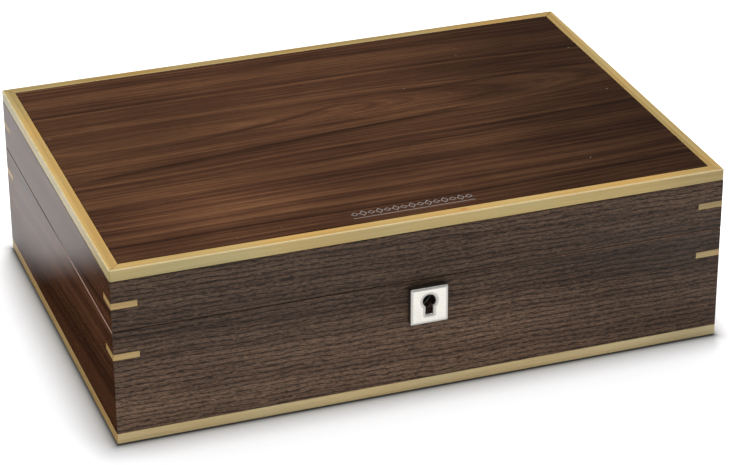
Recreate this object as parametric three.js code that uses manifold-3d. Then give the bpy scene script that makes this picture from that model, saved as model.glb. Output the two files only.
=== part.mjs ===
// A ten-watch box in walnut and maple. Millimetres, +Z up, front towards -Y, origin at the middle of
// the underside. Mitred walnut walls carry a maple edging above, a maple band below, and maple splines
// across the corners. The lid turns on two stop hinges at the back. A half-mortise lock in the front wall
// throws a bolt through a staple under the lid. A suede tray with halved dividers holds ten pillows.
import * as THREE from "three";
import { mergeVertices } from "three/addons/utils/BufferGeometryUtils.js";
import Module from "manifold-3d";

const wasm = await Module();
wasm.setup();

// ---- driving dimensions ----
const WIDTH = 330;
const DEPTH = 228.6;
const HEIGHT = 98.6;
const WALL = 15; // thickness of the walnut walls
const SEAM_Z = 64.4; // middle of the joint between base and lid
const SEAM_GAP = 0.3;
const SEAM_CHAMFER = 0.2; // on the outer arris of both rims
const EDGING_W = 6.2; // maple edging, seen from above
const EDGING_H = 6.4;
const BAND_H = 6; // maple band round the floor
const BAIZE_T = 0.6;
const BAIZE_INSET = 5;
const GLUE = 0.1; // glue line between glued pieces
const FIT = 0.3; // slip fit between a piece and its mortise
const PAST = 1; // how far a cutter runs past the face it opens

const BASE_TOP = SEAM_Z - SEAM_GAP / 2;
const LID_BOTTOM = SEAM_Z + SEAM_GAP / 2;
const FLOOR_TOP = BAIZE_T + BAND_H;
const EDGING_BOTTOM = HEIGHT - EDGING_H;
const FRONT_Y = -DEPTH / 2;
const INNER_X = WIDTH / 2 - WALL;
const INNER_Y = DEPTH / 2 - WALL;

// corner splines
const SPLINE_T = 3.4;
const SPLINE_REACH = 13.6; // length seen on each face
const SPLINE_FROM_SEAM = 14.3;

// hinges
const HINGE_X = 105;
const HINGE_L = 38;
const HINGE_Y = DEPTH / 2 + 0.3;
const LEAF_W = 11;
const LEAF_T = 1.5;
const KNUCKLE_R = 2.6;
const KNUCKLE_CLEAR_R = 2.9;
const PIN_R = 1.1;
const PIN_BORE_R = 1.2;
const STOP_R = 6;
const STOP_T = 1.5;
const STOP_ROOT = 0.4; // how deep the stop is rooted in the barrel
const STOP_ANGLE = 48; // degrees above and below the horizontal, so the stops meet just past 95 degrees

// escutcheon and keyhole
const PLATE = 20.4;
const PLATE_T = 4;
const PLATE_Z = 50.9;
const PLATE_CORNER_R = 0.8;
const KEY_Z = 53.4; // the key's axis
const KEY_R = 3.5;
const KEY_SLOT_W = 4;
const KEY_SLOT_BOTTOM = 45.8;
const KEY_WOOD_GROW = 0.5; // the hole in the wood is this much larger all round

// lock
const SHEET = 1.4; // plates of the lock and the strike
const LOCK_BACK_Y = -INNER_Y - GLUE;
const LOCK_HALF_W = 23;
const LOCK_BOTTOM = 37;
const CASE_HALF_W = 17.5;
const CASE_WALL = 1.2;
const CASE_FRONT_Y = FRONT_Y + 3.8;
const CASE_BOTTOM = 39;
const CASE_TOP = BASE_TOP - SHEET - GLUE;
const LOCK_SCREW_X = 20.2;
const LOCK_SCREW_Z = 50;
const BOLT_Y = FRONT_Y + 9.1; // middle plane of the bolt
const BOLT_T = 3;
const BOLT_TIP_X = -8;
const BOLT_END_X = 15.4;
const BOLT_BODY_X = -3.2;
const BOLT_BOTTOM = 57;
const BOLT_TOP = 62.3;
const FINGER_Z = 58.9;
const FINGER_H = 3;
const TALON_X = 2.5;
const TALON_W = 4.4;
const TALON_TOP = 61.2;
const STUMP_X = 7.3;
const STUMP_Z = 59.9;
const STUMP_R = 1;
const STUMP_L = 7;
const BOLT_SLOT_W = 7.6;
const BOLT_SLOT_H = 2.6;
const SPRING_X = 6;
const SPRING_HALF_L = 7;
const SPRING_T = 0.4;

// strike plate with its staple
const STRIKE_HALF_W = 20;
const STRIKE_W = 9;
const STAPLE_X = -10;
const STAPLE_T = 3;
const STAPLE_W = 7.2;
const STAPLE_BOTTOM = 55.1;
const STAPLE_CLEAR = 0.5; // all round the staple where it enters the lock
const EYE = 4.4;
const STRIKE_SCREW_X = 16;

// countersunk wood screw
const SCREW_HEAD_R = 2.2;
const SCREW_HEAD_H = 1.3;
const SCREW_SHANK_R = 1.2;
const SCREW_L = 9.5;
const SCREW_POINT = 2;
const SCREW_SLOT_W = 0.6;
const SCREW_SLOT_D = 0.5;

// tray, dividers and pillows
const COLUMNS = 5;
const TRAY_T = 3;
const TRAY_FLOOR_T = 2.4;
const TRAY_TOP = 67.4; // the lip stands above the rim and guides the lid
const DIVIDER_T = 3;
const DIVIDER_TOP = 58;
const PILLOW = { x: 50, y: 80, z: 40, r: 15, bulge: 2.5 };
const LID_PAD_T = 3.4;
const LID_PAD_INSET = 0.6;

const ROUND = 24; // sides of hinge barrels and pins
const SMALL_ROUND = 16; // sides of screws, stump and keyhole

// ---- materials ----
const finish = (color, roughness, metalness = 0) => {
  return new THREE.MeshStandardMaterial({ color, roughness, metalness });
};
const walnut = finish(0x563a28, 0.35);
const maple = finish(0xc4a468, 0.4);
const nickel = finish(0xd8d4c8, 0.25, 1);
const steel = finish(0x8f8e8a, 0.35, 1);
const suede = finish(0xb9ab95, 0.95);
const baize = finish(0x2c2623, 1);

// ---- solids ----
function solidOf(geometry) {
  const bare = geometry.clone();
  bare.deleteAttribute("normal");
  bare.deleteAttribute("uv");
  const merged = mergeVertices(bare, 1e-4);
  return new wasm.Manifold(
    new wasm.Mesh({
      numProp: 3,
      vertProperties: new Float32Array(merged.attributes.position.array),
      triVerts: new Uint32Array(merged.index.array),
    }),
  );
}

function geometryOf(solid) {
  const mesh = solid.getMesh();
  const made = new THREE.BufferGeometry();
  made.setAttribute("position", new THREE.BufferAttribute(new Float32Array(mesh.vertProperties), 3));
  made.setIndex(new THREE.BufferAttribute(new Uint32Array(mesh.triVerts), 1));
  made.computeVertexNormals();
  return made;
}

function cut(geometry, ...tools) {
  return geometryOf(tools.reduce((body, tool) => body.subtract(solidOf(tool)), solidOf(geometry)));
}

function join(geometry, ...others) {
  return geometryOf(others.reduce((body, other) => body.add(solidOf(other)), solidOf(geometry)));
}

// ---- basic shapes ----
// A block between two corners.
function block([x0, x1], [y0, y1], [z0, z1]) {
  const made = new THREE.BoxGeometry(x1 - x0, y1 - y0, z1 - z0);
  return made.translate((x0 + x1) / 2, (y0 + y1) / 2, (z0 + z1) / 2);
}

// A block centred in x and y.
function centredBlock(halfX, halfY, z) {
  return block([-halfX, halfX], [-halfY, halfY], z);
}

// A round bar along X.
function barAlongX(radius, x0, x1, y, z, sides = ROUND) {
  const made = new THREE.CylinderGeometry(radius, radius, x1 - x0, sides);
  return made.rotateZ(Math.PI / 2).translate((x0 + x1) / 2, y, z);
}

// A shape drawn in the XZ plane and extruded along Y, from y0 to y1.
function extrudeAlongY(shape, y0, y1) {
  const settings = { depth: y1 - y0, bevelEnabled: false, curveSegments: 12 };
  const made = new THREE.ExtrudeGeometry(shape, settings);
  return made.rotateX(Math.PI / 2).translate(0, y1, 0);
}

// A rectangle about the origin with rounded corners.
function roundedRectangle(halfX, halfY, radius) {
  const shape = new THREE.Shape();
  const signs = [
    [1, 1],
    [-1, 1],
    [-1, -1],
    [1, -1],
  ];
  signs.forEach(([sx, sy], i) => {
    const start = (i * Math.PI) / 2;
    shape.absarc(sx * (halfX - radius), sy * (halfY - radius), radius, start, start + Math.PI / 2, false);
  });
  return shape;
}

// A turned solid about Z, from points of (radius, height).
function turned(profile) {
  const points = profile.map(([r, z]) => new THREE.Vector2(r, z));
  return new THREE.LatheGeometry(points, SMALL_ROUND).rotateX(Math.PI / 2);
}

// A countersunk screw with its head's face at the origin and its shank along -Z.
const screw = () => {
  return turned([
    [0, -SCREW_L],
    [SCREW_SHANK_R, SCREW_POINT - SCREW_L],
    [SCREW_SHANK_R, -SCREW_HEAD_H],
    [SCREW_HEAD_R, 0],
    [0, 0],
  ]);
};

// The hole for that screw, a glue line larger and open above.
const screwHole = () => {
  return turned([
    [0, -SCREW_L - GLUE],
    [SCREW_SHANK_R + GLUE, SCREW_POINT - SCREW_L - GLUE],
    [SCREW_SHANK_R + GLUE, -SCREW_HEAD_H],
    [SCREW_HEAD_R + GLUE, -GLUE],
    [SCREW_HEAD_R + GLUE, GLUE],
    [0, GLUE],
  ]);
};

function slottedScrew() {
  const slot = block(
    [-SCREW_HEAD_R - PAST, SCREW_HEAD_R + PAST],
    [-SCREW_SLOT_W / 2, SCREW_SLOT_W / 2],
    [-SCREW_SLOT_D, PAST],
  );
  return cut(screw(), slot);
}

// ---- mitred frames ----
const SIDES = ["front", "right", "back", "left"];

// One mitred side of a frame. section is drawn in (distance in from the outer face, height).
function mitredSide(side, section) {
  const turn = SIDES.indexOf(side);
  const along = (turn % 2 ? DEPTH : WIDTH) / 2;
  const across = (turn % 2 ? WIDTH : DEPTH) / 2;
  const shape = new THREE.Shape(section.map(([inset, z]) => new THREE.Vector2(inset, z)));
  const bar = new THREE.ExtrudeGeometry(shape, { depth: 1, bevelEnabled: false });
  const at = bar.attributes.position;
  for (let i = 0; i < at.count; i++) {
    const inset = at.getX(i);
    const end = at.getZ(i) > 0.5 ? 1 : -1;
    at.setXYZ(i, end * (along - inset - GLUE / 2), inset - across, at.getY(i));
  }
  return bar.rotateZ((turn * Math.PI) / 2);
}

const rectangle = (depth, z0, z1) => {
  return [
    [0, z0],
    [depth, z0],
    [depth, z1],
    [0, z1],
  ];
};

const baseWallSection = [
  [0, FLOOR_TOP],
  [WALL, FLOOR_TOP],
  [WALL, BASE_TOP],
  [SEAM_CHAMFER, BASE_TOP],
  [0, BASE_TOP - SEAM_CHAMFER],
];
const lidWallSection = [
  [0, LID_BOTTOM + SEAM_CHAMFER],
  [SEAM_CHAMFER, LID_BOTTOM],
  [WALL, LID_BOTTOM],
  [WALL, EDGING_BOTTOM - GLUE],
  [0, EDGING_BOTTOM - GLUE],
];
const bandSection = rectangle(EDGING_W, BAIZE_T + GLUE, FLOOR_TOP - GLUE);
const edgingSection = rectangle(EDGING_W, EDGING_BOTTOM, HEIGHT);

// ---- corner splines ----
const CORNERS = {
  front_left: [-1, -1],
  front_right: [1, -1],
  back_right: [1, 1],
  back_left: [-1, 1],
};

// The triangular slip in one corner. The kerf that holds it grows all round and runs out of both faces.
function spline(corner, z, grow = 0, out = 0) {
  const [sx, sy] = CORNERS[corner];
  const x = (sx * WIDTH) / 2;
  const y = (sy * DEPTH) / 2;
  const reach = SPLINE_REACH + grow * Math.SQRT2;
  const outline = [
    [x + sx * out, y + sy * out],
    [x - sx * (reach + out), y + sy * out],
    [x + sx * out, y - sy * (reach + out)],
  ];
  const wound = sx * sy > 0 ? outline : outline.reverse();
  const shape = new THREE.Shape(wound.map(([px, py]) => new THREE.Vector2(px, py)));
  const thick = SPLINE_T + 2 * grow;
  const made = new THREE.ExtrudeGeometry(shape, { depth: thick, bevelEnabled: false });
  return made.translate(0, 0, z - thick / 2);
}

const BASE_SPLINE_Z = SEAM_Z - SPLINE_FROM_SEAM;
const LID_SPLINE_Z = SEAM_Z + SPLINE_FROM_SEAM;
const kerfs = (z) => Object.keys(CORNERS).map((corner) => spline(corner, z, GLUE, PAST));

// ---- keyhole ----
// A round hole with a slot below it, in the XZ plane.
function keyholeShape(grow = 0) {
  const radius = KEY_R + grow;
  const half = KEY_SLOT_W / 2 + grow;
  const turn = Math.asin(half / radius);
  const shape = new THREE.Shape();
  shape.moveTo(half, KEY_SLOT_BOTTOM - grow);
  shape.absarc(0, KEY_Z, radius, turn - Math.PI / 2, 1.5 * Math.PI - turn, false);
  shape.lineTo(-half, KEY_SLOT_BOTTOM - grow);
  shape.closePath();
  return shape;
}

// ---- lock mortise ----
function lockMortise() {
  const backY = -INNER_Y + PAST;
  const top = BASE_TOP + PAST;
  const caseX = CASE_HALF_W + FIT;
  const plateX = LOCK_HALF_W + FIT;
  const frontY = CASE_FRONT_Y - FIT;
  const plateY = LOCK_BACK_Y - SHEET - FIT / 2;
  return [
    block([-caseX, caseX], [frontY, backY], [CASE_BOTTOM - FIT, top]),
    block([-plateX, plateX], [plateY, backY], [LOCK_BOTTOM - FIT, top]),
    block([-plateX, plateX], [frontY, backY], [BASE_TOP - SHEET - FIT / 2, top]),
  ];
}

// Screws of the lock point into the wood, along -Y; those of the strike point up, along +Z.
const lockScrewPlace = (geometry, sign) => {
  return geometry.rotateX(-Math.PI / 2).translate(sign * LOCK_SCREW_X, LOCK_BACK_Y, LOCK_SCREW_Z);
};
const strikeScrewPlace = (geometry, sign) => {
  return geometry.rotateX(Math.PI).translate(sign * STRIKE_SCREW_X, BOLT_Y, LID_BOTTOM);
};

// ---- hinges ----
// The mortise for one leaf with relief for the barrel. up is -1 in the base and 1 in the lid.
function hingeMortise(x, up) {
  const rim = up < 0 ? BASE_TOP : LID_BOTTOM;
  const half = HINGE_L / 2 + FIT;
  const level = (depth) => (up < 0 ? [rim - depth, rim + PAST] : [rim - PAST, rim + depth]);
  const along = [x - half, x + half];
  const out = DEPTH / 2 + PAST;
  return [
    block(along, [HINGE_Y - LEAF_W - FIT, out], level(LEAF_T + FIT)),
    block(along, [HINGE_Y - KNUCKLE_CLEAR_R - FIT, out], level(KNUCKLE_CLEAR_R)),
  ];
}

// The stop of one leaf: a blade behind the barrel whose working face is a radial plane.
function hingeStop(x, up) {
  const blade = block([-HINGE_L / 2, HINGE_L / 2], [KNUCKLE_R - STOP_ROOT, STOP_R], [0, STOP_T]);
  if (up < 0) blade.translate(0, 0, -STOP_T);
  return blade.rotateX((up * STOP_ANGLE * Math.PI) / 180).translate(x, HINGE_Y, SEAM_Z);
}

// up -1 is the base leaf, with the two outer knuckles; up 1 is the lid leaf, with the middle one.
function hingeLeaf(x, up) {
  const third = HINGE_L / 3;
  const ends = [x - HINGE_L / 2, x - third / 2, x + third / 2, x + HINGE_L / 2];
  const own = up < 0 ? [[0, 1], [2, 3]] : [[1, 2]];
  const other = up < 0 ? [[1, 2]] : [[0, 1], [2, 3]];
  const z = up < 0 ? [BASE_TOP - LEAF_T, BASE_TOP] : [LID_BOTTOM, LID_BOTTOM + LEAF_T];
  const plate = block([x - HINGE_L / 2, x + HINGE_L / 2], [HINGE_Y - LEAF_W, HINGE_Y], z);
  const clearance = other.map(([a, b]) => {
    return barAlongX(KNUCKLE_CLEAR_R, ends[a] - FIT / 2, ends[b] + FIT / 2, HINGE_Y, SEAM_Z);
  });
  const barrel = own.map(([a, b]) => {
    const from = ends[a] + (a ? FIT / 2 : 0);
    const to = ends[b] - (b < 3 ? FIT / 2 : 0);
    return barAlongX(KNUCKLE_R, from, to, HINGE_Y, SEAM_Z);
  });
  const bore = barAlongX(PIN_BORE_R, x - HINGE_L, x + HINGE_L, HINGE_Y, SEAM_Z);
  const bladed = cut(join(plate, hingeStop(x, up)), ...clearance);
  return cut(join(bladed, ...barrel), bore);
}

// ---- the parts ----
const box = new THREE.Group();

function add(name, geometry, material) {
  const mesh = new THREE.Mesh(geometry, material);
  mesh.name = name;
  box.add(mesh);
}

function addBase() {
  const keyway = extrudeAlongY(keyholeShape(KEY_WOOD_GROW), FRONT_Y - PAST, FRONT_Y + WALL);
  const cutters = {
    front: [...lockMortise(), keyway, ...[-1, 1].map((s) => lockScrewPlace(screwHole(), s))],
    back: [-1, 1].flatMap((s) => hingeMortise(s * HINGE_X, -1)),
  };
  for (const side of SIDES) {
    const wall = mitredSide(side, baseWallSection);
    add(`base_${side}_wall`, cut(wall, ...kerfs(BASE_SPLINE_Z), ...(cutters[side] ?? [])), walnut);
    add(`base_${side}_band`, mitredSide(side, bandSection), maple);
  }
  const panelX = WIDTH / 2 - EDGING_W - GLUE;
  const panelY = DEPTH / 2 - EDGING_W - GLUE;
  add("floor_panel", centredBlock(panelX, panelY, [BAIZE_T + GLUE, FLOOR_TOP - GLUE]), walnut);
  const sheet = centredBlock(WIDTH / 2 - BAIZE_INSET, DEPTH / 2 - BAIZE_INSET, [0, BAIZE_T]);
  add("base_baize", sheet, baize);
}

function addLid() {
  const strikeHalf = STRIKE_HALF_W + FIT / 2;
  const strikeY = [BOLT_Y - STRIKE_W / 2 - FIT / 2, BOLT_Y + STRIKE_W / 2 + FIT / 2];
  const strikeZ = [LID_BOTTOM - PAST, LID_BOTTOM + SHEET + FIT / 2];
  const strikeMortise = block([-strikeHalf, strikeHalf], strikeY, strikeZ);
  const cutters = {
    front: [strikeMortise, ...[-1, 1].map((s) => strikeScrewPlace(screwHole(), s))],
    back: [-1, 1].flatMap((s) => hingeMortise(s * HINGE_X, 1)),
  };
  for (const side of SIDES) {
    const wall = mitredSide(side, lidWallSection);
    add(`lid_${side}_wall`, cut(wall, ...kerfs(LID_SPLINE_Z), ...(cutters[side] ?? [])), walnut);
    add(`lid_${side}_edging`, mitredSide(side, edgingSection), maple);
  }
  const panelX = WIDTH / 2 - EDGING_W - GLUE;
  const panelY = DEPTH / 2 - EDGING_W - GLUE;
  add("lid_top_panel", centredBlock(panelX, panelY, [EDGING_BOTTOM, HEIGHT]), walnut);
  const padTop = EDGING_BOTTOM - GLUE;
  const padZ = [padTop - LID_PAD_T, padTop];
  const pad = centredBlock(INNER_X - LID_PAD_INSET, INNER_Y - LID_PAD_INSET, padZ);
  add("lid_pad", pad, suede);
}

function addSplines() {
  for (const corner of Object.keys(CORNERS)) {
    add(`base_spline_${corner}`, spline(corner, BASE_SPLINE_Z), maple);
    add(`lid_spline_${corner}`, spline(corner, LID_SPLINE_Z), maple);
  }
}

function addHinges() {
  for (const [name, x] of [["left", -HINGE_X], ["right", HINGE_X]]) {
    add(`hinge_${name}_base_leaf`, hingeLeaf(x, -1), nickel);
    add(`hinge_${name}_lid_leaf`, hingeLeaf(x, 1), nickel);
    const pin = barAlongX(PIN_R, x - HINGE_L / 2, x + HINGE_L / 2, HINGE_Y, SEAM_Z);
    add(`hinge_${name}_pin`, pin, nickel);
  }
}

function addEscutcheon() {
  const half = PLATE / 2;
  const back = FRONT_Y - GLUE;
  const plate = extrudeAlongY(roundedRectangle(half, half, PLATE_CORNER_R), back - PLATE_T, back);
  plate.translate(0, 0, PLATE_Z);
  const hole = extrudeAlongY(keyholeShape(), back - PLATE_T - PAST, back + PAST);
  add("escutcheon", cut(plate, hole), nickel);
}

function addLock() {
  const plateY = [LOCK_BACK_Y - SHEET, LOCK_BACK_Y];
  const halfW = [-LOCK_HALF_W, LOCK_HALF_W];
  const backplate = block(halfW, plateY, [LOCK_BOTTOM, BASE_TOP]);
  const selvedge = block(halfW, [CASE_FRONT_Y, LOCK_BACK_Y], [BASE_TOP - SHEET, BASE_TOP]);
  const stump = new THREE.CylinderGeometry(STUMP_R, STUMP_R, STUMP_L, SMALL_ROUND);
  stump.translate(STUMP_X, LOCK_BACK_Y - SHEET / 2 - STUMP_L / 2, STUMP_Z);
  const slotHalfX = STAPLE_T / 2 + STAPLE_CLEAR;
  const slotHalfY = STAPLE_W / 2 + STAPLE_CLEAR;
  const stapleSlot = block(
    [STAPLE_X - slotHalfX, STAPLE_X + slotHalfX],
    [BOLT_Y - slotHalfY, BOLT_Y + slotHalfY],
    [CASE_TOP - PAST, BASE_TOP + PAST],
  );
  const screwHoles = [-1, 1].map((s) => lockScrewPlace(screwHole(), s));
  add("lock_backplate", cut(join(backplate, selvedge, stump), stapleSlot, ...screwHoles), steel);

  const caseX = [-CASE_HALF_W, CASE_HALF_W];
  const caseBody = block(caseX, [CASE_FRONT_Y, plateY[0] - GLUE], [CASE_BOTTOM, CASE_TOP]);
  const hollow = block(
    [caseX[0] + CASE_WALL, caseX[1] - CASE_WALL],
    [CASE_FRONT_Y + CASE_WALL, LOCK_BACK_Y],
    [CASE_BOTTOM + CASE_WALL, CASE_TOP + PAST],
  );
  const keyway = extrudeAlongY(keyholeShape(), CASE_FRONT_Y - PAST, CASE_FRONT_Y + CASE_WALL + PAST);
  add("lock_case", cut(caseBody, hollow, keyway), steel);

  const boltY = [BOLT_Y - BOLT_T / 2, BOLT_Y + BOLT_T / 2];
  const fingerZ = [FINGER_Z - FINGER_H / 2, FINGER_Z + FINGER_H / 2];
  const finger = block([BOLT_TIP_X, BOLT_BODY_X + BOLT_T], boltY, fingerZ);
  const body = block([BOLT_BODY_X, BOLT_END_X], boltY, [BOLT_BOTTOM, BOLT_TOP]);
  const wide = [boltY[0] - PAST, boltY[1] + PAST];
  const talonX = [TALON_X - TALON_W / 2, TALON_X + TALON_W / 2];
  const talon = block(talonX, wide, [BOLT_BOTTOM - PAST, TALON_TOP]);
  const slotX = STUMP_X - STUMP_R - FIT;
  const slotZ = [STUMP_Z - BOLT_SLOT_H / 2, STUMP_Z + BOLT_SLOT_H / 2];
  const slot = block([slotX, slotX + BOLT_SLOT_W], wide, slotZ);
  add("lock_bolt", cut(join(finger, body), talon, slot), nickel);
  add("lock_spring", springArc(boltY[1] + FIT, plateY[0] - FIT), steel);
  for (const [name, s] of [["left", -1], ["right", 1]]) {
    add(`lock_screw_${name}`, lockScrewPlace(slottedScrew(), s), steel);
  }
}

// A bowed leaf spring. Its crown faces the bolt's back and its two ends face the backplate.
function springArc(nearY, farY) {
  const rise = farY - nearY - SPRING_T;
  const radius = (SPRING_HALF_L ** 2 + rise ** 2) / (2 * rise);
  const turn = Math.asin(SPRING_HALF_L / radius);
  const crown = -Math.PI / 2;
  const centreY = nearY + radius;
  const shape = new THREE.Shape();
  shape.absarc(SPRING_X, centreY, radius, crown - turn, crown + turn, false);
  shape.absarc(SPRING_X, centreY, radius - SPRING_T, crown + turn, crown - turn, true);
  shape.closePath();
  const width = STUMP_Z - STUMP_R - FIT / 2 - BOLT_BOTTOM; // it passes below the stump
  const made = new THREE.ExtrudeGeometry(shape, { depth: width, bevelEnabled: false, curveSegments: 6 });
  return made.translate(0, 0, BOLT_BOTTOM);
}

function addStrike() {
  const z = [LID_BOTTOM, LID_BOTTOM + SHEET];
  const y = [BOLT_Y - STRIKE_W / 2, BOLT_Y + STRIKE_W / 2];
  const plate = block([-STRIKE_HALF_W, STRIKE_HALF_W], y, z);
  const stapleX = [STAPLE_X - STAPLE_T / 2, STAPLE_X + STAPLE_T / 2];
  const staple = block(stapleX, [BOLT_Y - STAPLE_W / 2, BOLT_Y + STAPLE_W / 2], [STAPLE_BOTTOM, z[1]]);
  const eye = block(
    [stapleX[0] - PAST, stapleX[1] + PAST],
    [BOLT_Y - EYE / 2, BOLT_Y + EYE / 2],
    [FINGER_Z - EYE / 2, FINGER_Z + EYE / 2],
  );
  const screwHoles = [-1, 1].map((s) => strikeScrewPlace(screwHole(), s));
  add("strike_plate", cut(join(plate, staple), eye, ...screwHoles), nickel);
  for (const [name, s] of [["left", -1], ["right", 1]]) {
    add(`strike_screw_${name}`, strikeScrewPlace(slottedScrew(), s), steel);
  }
}

const TRAY_X = INNER_X - FIT;
const TRAY_Y = INNER_Y - FIT;
const TRAY_FLOOR = FLOOR_TOP + TRAY_FLOOR_T;
const COLUMN_W = (2 * (TRAY_X - TRAY_T) - (COLUMNS - 1) * DIVIDER_T) / COLUMNS;
const COLUMN_PITCH = COLUMN_W + DIVIDER_T;
const ROW_Y = (TRAY_Y - TRAY_T + DIVIDER_T / 2) / 2;
const columnX = (column) => (column - (COLUMNS - 1) / 2) * COLUMN_PITCH;

function addTray() {
  const outer = centredBlock(TRAY_X, TRAY_Y, [FLOOR_TOP, TRAY_TOP]);
  const inner = centredBlock(TRAY_X - TRAY_T, TRAY_Y - TRAY_T, [TRAY_FLOOR, TRAY_TOP + PAST]);
  add("liner_tray", cut(outer, inner), suede);

  const bottom = TRAY_FLOOR + GLUE;
  const middle = (bottom + DIVIDER_TOP) / 2;
  const half = DIVIDER_T / 2;
  const slotHalf = half + GLUE;
  const crossings = [];
  for (let i = 1; i < COLUMNS; i++) crossings.push(columnX(i) - COLUMN_PITCH / 2);
  const long = centredBlock(TRAY_X - TRAY_T - GLUE, half, [bottom, DIVIDER_TOP]);
  const overY = [-half - PAST, half + PAST];
  const fromBelow = crossings.map((x) => {
    return block([x - slotHalf, x + slotHalf], overY, [bottom - PAST, middle + GLUE]);
  });
  add("long_divider", cut(long, ...fromBelow), suede);
  const crossHalf = TRAY_Y - TRAY_T - GLUE;
  crossings.forEach((x, i) => {
    const cross = block([x - half, x + half], [-crossHalf, crossHalf], [bottom, DIVIDER_TOP]);
    const overX = [x - half - PAST, x + half + PAST];
    const fromAbove = block(overX, [-slotHalf, slotHalf], [middle - GLUE, DIVIDER_TOP + PAST]);
    add(`cross_divider_${i + 1}`, cut(cross, fromAbove), suede);
  });
}

// A watch pillow: a rounded block whose sides are full in the middle, its roll lying along X.
function pillow(x, y) {
  const hz = PILLOW.z / 2;
  const shape = roundedRectangle(PILLOW.y / 2, hz, PILLOW.r);
  const made = new THREE.ExtrudeGeometry(shape, {
    depth: PILLOW.x - 2 * PILLOW.bulge,
    bevelEnabled: true,
    bevelThickness: PILLOW.bulge,
    bevelSize: PILLOW.bulge,
    bevelOffset: -PILLOW.bulge,
    bevelSegments: 2,
    curveSegments: 4,
  });
  made.translate(0, 0, PILLOW.bulge - PILLOW.x / 2);
  made.rotateX(Math.PI / 2).rotateZ(Math.PI / 2);
  return made.translate(x, y, TRAY_FLOOR + GLUE + hz);
}

function addPillows() {
  for (let column = 0; column < COLUMNS; column++) {
    add(`pillow_front_${column + 1}`, pillow(columnX(column), -ROW_Y), suede);
    add(`pillow_back_${column + 1}`, pillow(columnX(column), ROW_Y), suede);
  }
}

addBase();
addLid();
addSplines();
addHinges();
addEscutcheon();
addLock();
addStrike();
addTray();
addPillows();

export default box;
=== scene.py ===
"""The looks of a ten-watch box in walnut and maple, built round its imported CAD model. Metres, +Z up."""

import math
import random

import bmesh
import bpy
import numpy as np
from mathutils import Matrix, Vector
from mathutils.bvhtree import BVHTree


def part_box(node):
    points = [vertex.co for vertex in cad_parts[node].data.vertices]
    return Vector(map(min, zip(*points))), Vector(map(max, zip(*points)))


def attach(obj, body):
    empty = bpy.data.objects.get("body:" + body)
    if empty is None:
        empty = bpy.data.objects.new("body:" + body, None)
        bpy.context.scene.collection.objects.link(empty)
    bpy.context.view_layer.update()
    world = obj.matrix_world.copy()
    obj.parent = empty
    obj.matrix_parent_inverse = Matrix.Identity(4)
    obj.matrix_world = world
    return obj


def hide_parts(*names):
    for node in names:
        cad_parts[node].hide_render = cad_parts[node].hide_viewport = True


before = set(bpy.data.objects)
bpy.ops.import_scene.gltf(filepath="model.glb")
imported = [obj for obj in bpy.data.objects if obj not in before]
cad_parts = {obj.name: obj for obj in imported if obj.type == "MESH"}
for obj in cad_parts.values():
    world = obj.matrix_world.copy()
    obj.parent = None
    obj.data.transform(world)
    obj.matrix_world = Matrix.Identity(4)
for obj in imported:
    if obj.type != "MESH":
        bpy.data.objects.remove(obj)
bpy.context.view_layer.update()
MM = 0.001

SIDES = ("front", "right", "back", "left")
CORNERS = ("front_left", "front_right", "back_right", "back_left")
ROWS = ("front", "back")
COLUMNS = 5


def placed(name, data):
    """A new object in the scene that carries this data."""
    piece = bpy.data.objects.new(name, data)
    bpy.context.scene.collection.objects.link(piece)
    return piece


# ---- camera ----
CAMERA_PLACE = Vector((-442.33, -1268.28, 722.02)) * MM
CAMERA_AZIMUTH = math.radians(-19.6128)
CAMERA_ELEVATION = math.radians(27.0644)
CAMERA_ROLL = math.radians(-0.2558)
LENS_MM = 134.53
SENSOR_MM = 36


def add_camera():
    data = bpy.data.cameras.new("camera")
    data.sensor_width = SENSOR_MM
    data.lens = LENS_MM
    camera = placed("camera", data)
    flat = math.cos(CAMERA_ELEVATION)
    back = Vector((
        math.sin(CAMERA_AZIMUTH) * flat,
        -math.cos(CAMERA_AZIMUTH) * flat,
        math.sin(CAMERA_ELEVATION),
    ))
    right = (-back).cross(Vector((0, 0, 1))).normalized()
    up = back.cross(right)
    turned_right = math.cos(CAMERA_ROLL) * right + math.sin(CAMERA_ROLL) * up
    turned_up = math.cos(CAMERA_ROLL) * up - math.sin(CAMERA_ROLL) * right
    camera.matrix_world = Matrix((
        (turned_right.x, turned_up.x, back.x, CAMERA_PLACE.x),
        (turned_right.y, turned_up.y, back.y, CAMERA_PLACE.y),
        (turned_right.z, turned_up.z, back.z, CAMERA_PLACE.z),
        (0, 0, 0, 1),
    ))
    bpy.context.scene.camera = camera


# ---- material building ----
MIX_A, MIX_B, MIX_RESULT = 6, 7, 2  # a Mix node's colour sockets, which share their names with its others


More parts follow.
